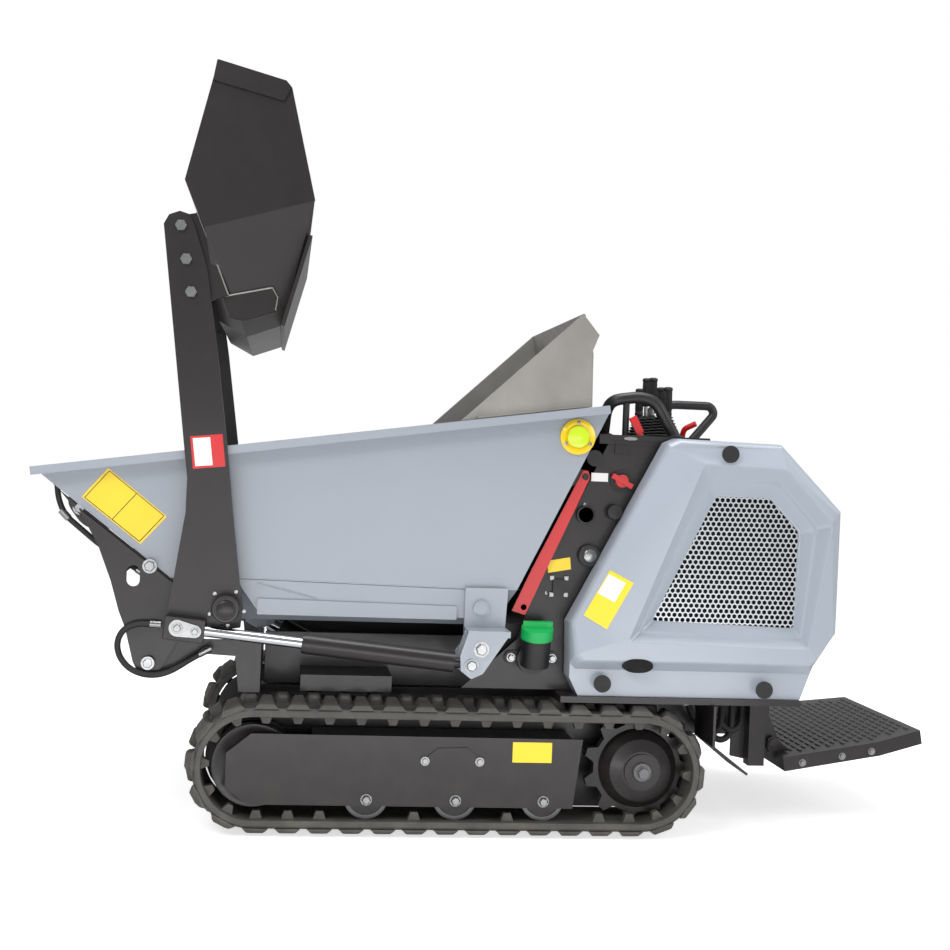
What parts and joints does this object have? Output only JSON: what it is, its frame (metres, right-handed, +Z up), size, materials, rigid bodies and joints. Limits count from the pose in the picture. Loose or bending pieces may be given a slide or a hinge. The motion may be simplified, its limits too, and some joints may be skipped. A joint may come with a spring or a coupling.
{
  "type": "tracked power wheelbarrow",
  "caption": "Walk-behind tracked dumper with a tipping skip, a self-loading shovel on two arms, an engine hood and a fold-up riding platform.",
  "frame": {"origin": "on the ground under the middle of the machine, centre of its box", "axes": "+X towards the operator's platform, -X towards the dumping end, +Y to the machine's right, +Z up"},
  "size_m": [2.1454, 0.9718, 1.717],
  "materials": {
    "black_paint": "satin",
    "blue_grey_paint": "gloss",
    "track_rubber": "matte",
    "zinc_plate": "satin",
    "chrome_rod": "polished",
    "bare_steel": "satin",
    "cast_grey": "matte",
    "moulded_hood": "gloss",
    "black_plastic": "matte",
    "black_rubber": "matte",
    "red_paint": "satin",
    "yellow_reflector": "gloss",
    "green_cap": "satin",
    "mesh_steel": "satin"
  },
  "bodies": {
    "root": {"chassis_frame": "black_paint", "base_plate": "black_paint", "left_track_frame": "black_paint", "right_track_frame": "black_paint", "left_track_cover": "black_paint", "right_track_cover": "black_paint", "left_track_belt": "track_rubber", "right_track_belt": "track_rubber", "drive_motors": "cast_grey", "console_panels": "black_paint", "console_deck": "black_paint", "console_fittings": "black_plastic", "hood_left": "moulded_hood", "hood_right": "moulded_hood", "hood_rear_cover": "moulded_hood", "hood_grilles": "mesh_steel", "rubber_plugs": "black_rubber", "engine": "cast_grey", "hydraulic_tank": "black_paint", "fuel_tank": "black_plastic", "battery": "black_plastic", "fuel_filler_neck": "black_plastic", "handlebars": "black_rubber", "lever_boots": "black_rubber", "platform_brackets": "black_paint"},
    "skip": {"loop_hoses": "black_rubber", "skip_tub": "blue_grey_paint", "skip_extension": "bare_steel", "skip_brackets": "blue_grey_paint", "loader_subframe": "black_paint", "skip_reflectors": "yellow_reflector"},
    "prop": {"safety_prop": "red_paint"},
    "arms": {"loader_arms": "black_paint", "bucket": "black_paint", "bucket_bolts": "zinc_plate"},
    "tip_barrel": {"tipping_barrel": "black_paint"},
    "tip_rod": {"tipping_rod": "chrome_rod"},
    "step": {"platform": "black_paint"},
    "throttle": {"throttle_lever": "red_paint"},
    "isolator": {"isolator_key": "red_paint"},
    "cap": {"fuel_cap": "green_cap"},
    "left_lift_barrel_body": {"left_lift_barrel": "black_paint"},
    "left_lift_rod_body": {"left_lift_rod": "chrome_rod"},
    "left_sprocket_body": {"left_sprocket": "black_paint"},
    "left_idler_body": {"left_idler": "black_paint"},
    "left_roller_1_body": {"left_roller_1": "black_paint"},
    "left_roller_2_body": {"left_roller_2": "black_paint"},
    "left_roller_3_body": {"left_roller_3": "black_paint"},
    "right_lift_barrel_body": {"right_lift_barrel": "black_paint"},
    "right_lift_rod_body": {"right_lift_rod": "chrome_rod"},
    "right_sprocket_body": {"right_sprocket": "black_paint"},
    "right_idler_body": {"right_idler": "black_paint"},
    "right_roller_1_body": {"right_roller_1": "black_paint"},
    "right_roller_2_body": {"right_roller_2": "black_paint"},
    "right_roller_3_body": {"right_roller_3": "black_paint"},
    "lever_1_body": {"lever_1": "black_plastic"},
    "lever_2_body": {"lever_2": "black_plastic"},
    "lever_3_body": {"lever_3": "black_plastic"},
    "lever_4_body": {"lever_4": "black_plastic"},
    "lever_5_body": {"lever_5": "black_plastic"}
  },
  "joints": [
    {"name": "skip_tip", "type": "hinge", "parent": "root", "child": "skip", "pos_m": [-0.802, 0, 0.372], "axis": [0, -1, 0], "range_deg": [0, 75], "deforming": ["loop_hoses"]},
    {"name": "arm_lift", "type": "hinge", "parent": "skip", "child": "arms", "pos_m": [-0.632, 0, 0.504], "axis": [0, 1, 0], "range_deg": [-111, 20]},
    {"name": "prop_hang", "type": "hinge", "parent": "skip", "child": "prop", "pos_m": [0.184, -0.3535, 0.824], "axis": [0, -1, 0], "range_deg": [-1, 31]},
    {"name": "tip_barrel_swing", "type": "hinge", "parent": "root", "child": "tip_barrel", "pos_m": [-0.18, 0, 0.24], "axis": [0, -1, 0], "range_deg": [-6.7, 0.1]},
    {"name": "tip_rod_slide", "type": "slide", "parent": "tip_barrel", "child": "tip_rod", "axis": [-0.8897, 0, 0.4566], "range_m": [-0.001, 0.31]},
    {"name": "left_lift_swing", "type": "hinge", "parent": "skip", "child": "left_lift_barrel_body", "pos_m": [-0.082, -0.452, 0.392], "axis": [0, -1, 0], "range_deg": [-1.1, 5.7]},
    {"name": "left_lift_slide", "type": "slide", "parent": "left_lift_barrel_body", "child": "left_lift_rod_body", "axis": [-0.9948, 0, 0.1018], "range_m": [-0.167, 0.038]},
    {"name": "left_drive", "type": "hinge", "parent": "root", "child": "left_sprocket_body", "pos_m": [0.325, -0.381, 0.152], "axis": [0, 1, 0], "continuous": true},
    {"name": "left_idler_spin", "type": "hinge", "parent": "root", "child": "left_idler_body", "pos_m": [-0.56, -0.381, 0.152], "axis": [0, 1, 0], "continuous": true},
    {"name": "left_roller_1_spin", "type": "hinge", "parent": "root", "child": "left_roller_1_body", "pos_m": [-0.306, -0.381, 0.0873], "axis": [0, 1, 0], "continuous": true},
    {"name": "left_roller_2_spin", "type": "hinge", "parent": "root", "child": "left_roller_2_body", "pos_m": [-0.105, -0.381, 0.0873], "axis": [0, 1, 0], "continuous": true},
    {"name": "left_roller_3_spin", "type": "hinge", "parent": "root", "child": "left_roller_3_body", "pos_m": [0.096, -0.381, 0.0873], "axis": [0, 1, 0], "continuous": true},
    {"name": "right_lift_swing", "type": "hinge", "parent": "skip", "child": "right_lift_barrel_body", "pos_m": [-0.082, 0.452, 0.392], "axis": [0, -1, 0], "range_deg": [-1.1, 5.7]},
    {"name": "right_lift_slide", "type": "slide", "parent": "right_lift_barrel_body", "child": "right_lift_rod_body", "axis": [-0.9948, 0, 0.1018], "range_m": [-0.167, 0.038]},
    {"name": "right_drive", "type": "hinge", "parent": "root", "child": "right_sprocket_body", "pos_m": [0.325, 0.381, 0.152], "axis": [0, 1, 0], "continuous": true},
    {"name": "right_idler_spin", "type": "hinge", "parent": "root", "child": "right_idler_body", "pos_m": [-0.56, 0.381, 0.152], "axis": [0, 1, 0], "continuous": true},
    {"name": "right_roller_1_spin", "type": "hinge", "parent": "root", "child": "right_roller_1_body", "pos_m": [-0.306, 0.381, 0.0873], "axis": [0, 1, 0], "continuous": true},
    {"name": "right_roller_2_spin", "type": "hinge", "parent": "root", "child": "right_roller_2_body", "pos_m": [-0.105, 0.381, 0.0873], "axis": [0, 1, 0], "continuous": true},
    {"name": "right_roller_3_spin", "type": "hinge", "parent": "root", "child": "right_roller_3_body", "pos_m": [0.096, 0.381, 0.0873], "axis": [0, 1, 0], "continuous": true},
    {"name": "step_fold", "type": "hinge", "parent": "root", "child": "step", "pos_m": [0.7, 0, 0.186], "axis": [0, -1, 0], "range_deg": [0, 60]},
    {"name": "lever_1_tilt", "type": "hinge", "parent": "root", "child": "lever_1_body", "pos_m": [0.412, 0.11, 0.897], "axis": [0, 1, 0], "range_deg": [-6, 6], "stiffness_Nm_per_rad": 2},
    {"name": "lever_2_tilt", "type": "hinge", "parent": "root", "child": "lever_2_body", "pos_m": [0.412, 0.032, 0.897], "axis": [0, 1, 0], "range_deg": [-6, 6], "stiffness_Nm_per_rad": 2},
    {"name": "lever_3_tilt", "type": "hinge", "parent": "root", "child": "lever_3_body", "pos_m": [0.412, -0.04, 0.897], "axis": [0, 1, 0], "range_deg": [-6, 6], "stiffness_Nm_per_rad": 2},
    {"name": "lever_4_tilt", "type": "hinge", "parent": "root", "child": "lever_4_body", "pos_m": [0.412, -0.128, 0.897], "axis": [0, 1, 0], "range_deg": [-6, 6], "stiffness_Nm_per_rad": 2},
    {"name": "lever_5_tilt", "type": "hinge", "parent": "root", "child": "lever_5_body", "pos_m": [0.412, -0.2, 0.897], "axis": [0, 1, 0], "range_deg": [-6, 6], "stiffness_Nm_per_rad": 2},
    {"name": "throttle_turn", "type": "hinge", "parent": "root", "child": "throttle", "pos_m": [0.318, -0.322, 0.926], "axis": [0, 0, 1], "range_deg": [0, 70]},
    {"name": "isolator_turn", "type": "hinge", "parent": "root", "child": "isolator", "pos_m": [0.271, -0.345, 0.817], "axis": [0, 1, 0], "range_deg": [0, 60]},
    {"name": "cap_turn", "type": "hinge", "parent": "root", "child": "cap", "pos_m": [0.076, -0.385, 0.385], "axis": [0, -0.2419, 0.9703], "range_deg": [0, 90]}
  ],
  "couplings": [
    {"joint": "prop_hang", "follows": "skip_tip", "ratio": 0.4},
    {"joint": "tip_barrel_swing", "follows": "skip_tip", "ratio": -0.0875},
    {"joint": "tip_rod_slide", "follows": "skip_tip", "m_per_rad": 0.23},
    {"joint": "left_lift_swing", "follows": "arm_lift", "ratio": -0.05},
    {"joint": "left_lift_slide", "follows": "arm_lift", "m_per_rad": 0.085},
    {"joint": "left_idler_spin", "follows": "left_drive", "ratio": 1.08},
    {"joint": "left_roller_1_spin", "follows": "left_drive", "ratio": 2.48},
    {"joint": "left_roller_2_spin", "follows": "left_drive", "ratio": 2.48},
    {"joint": "left_roller_3_spin", "follows": "left_drive", "ratio": 2.48},
    {"joint": "right_lift_swing", "follows": "arm_lift", "ratio": -0.05},
    {"joint": "right_lift_slide", "follows": "arm_lift", "m_per_rad": 0.085},
    {"joint": "right_idler_spin", "follows": "right_drive", "ratio": 1.08},
    {"joint": "right_roller_1_spin", "follows": "right_drive", "ratio": 2.48},
    {"joint": "right_roller_2_spin", "follows": "right_drive", "ratio": 2.48},
    {"joint": "right_roller_3_spin", "follows": "right_drive", "ratio": 2.48}
  ]
}
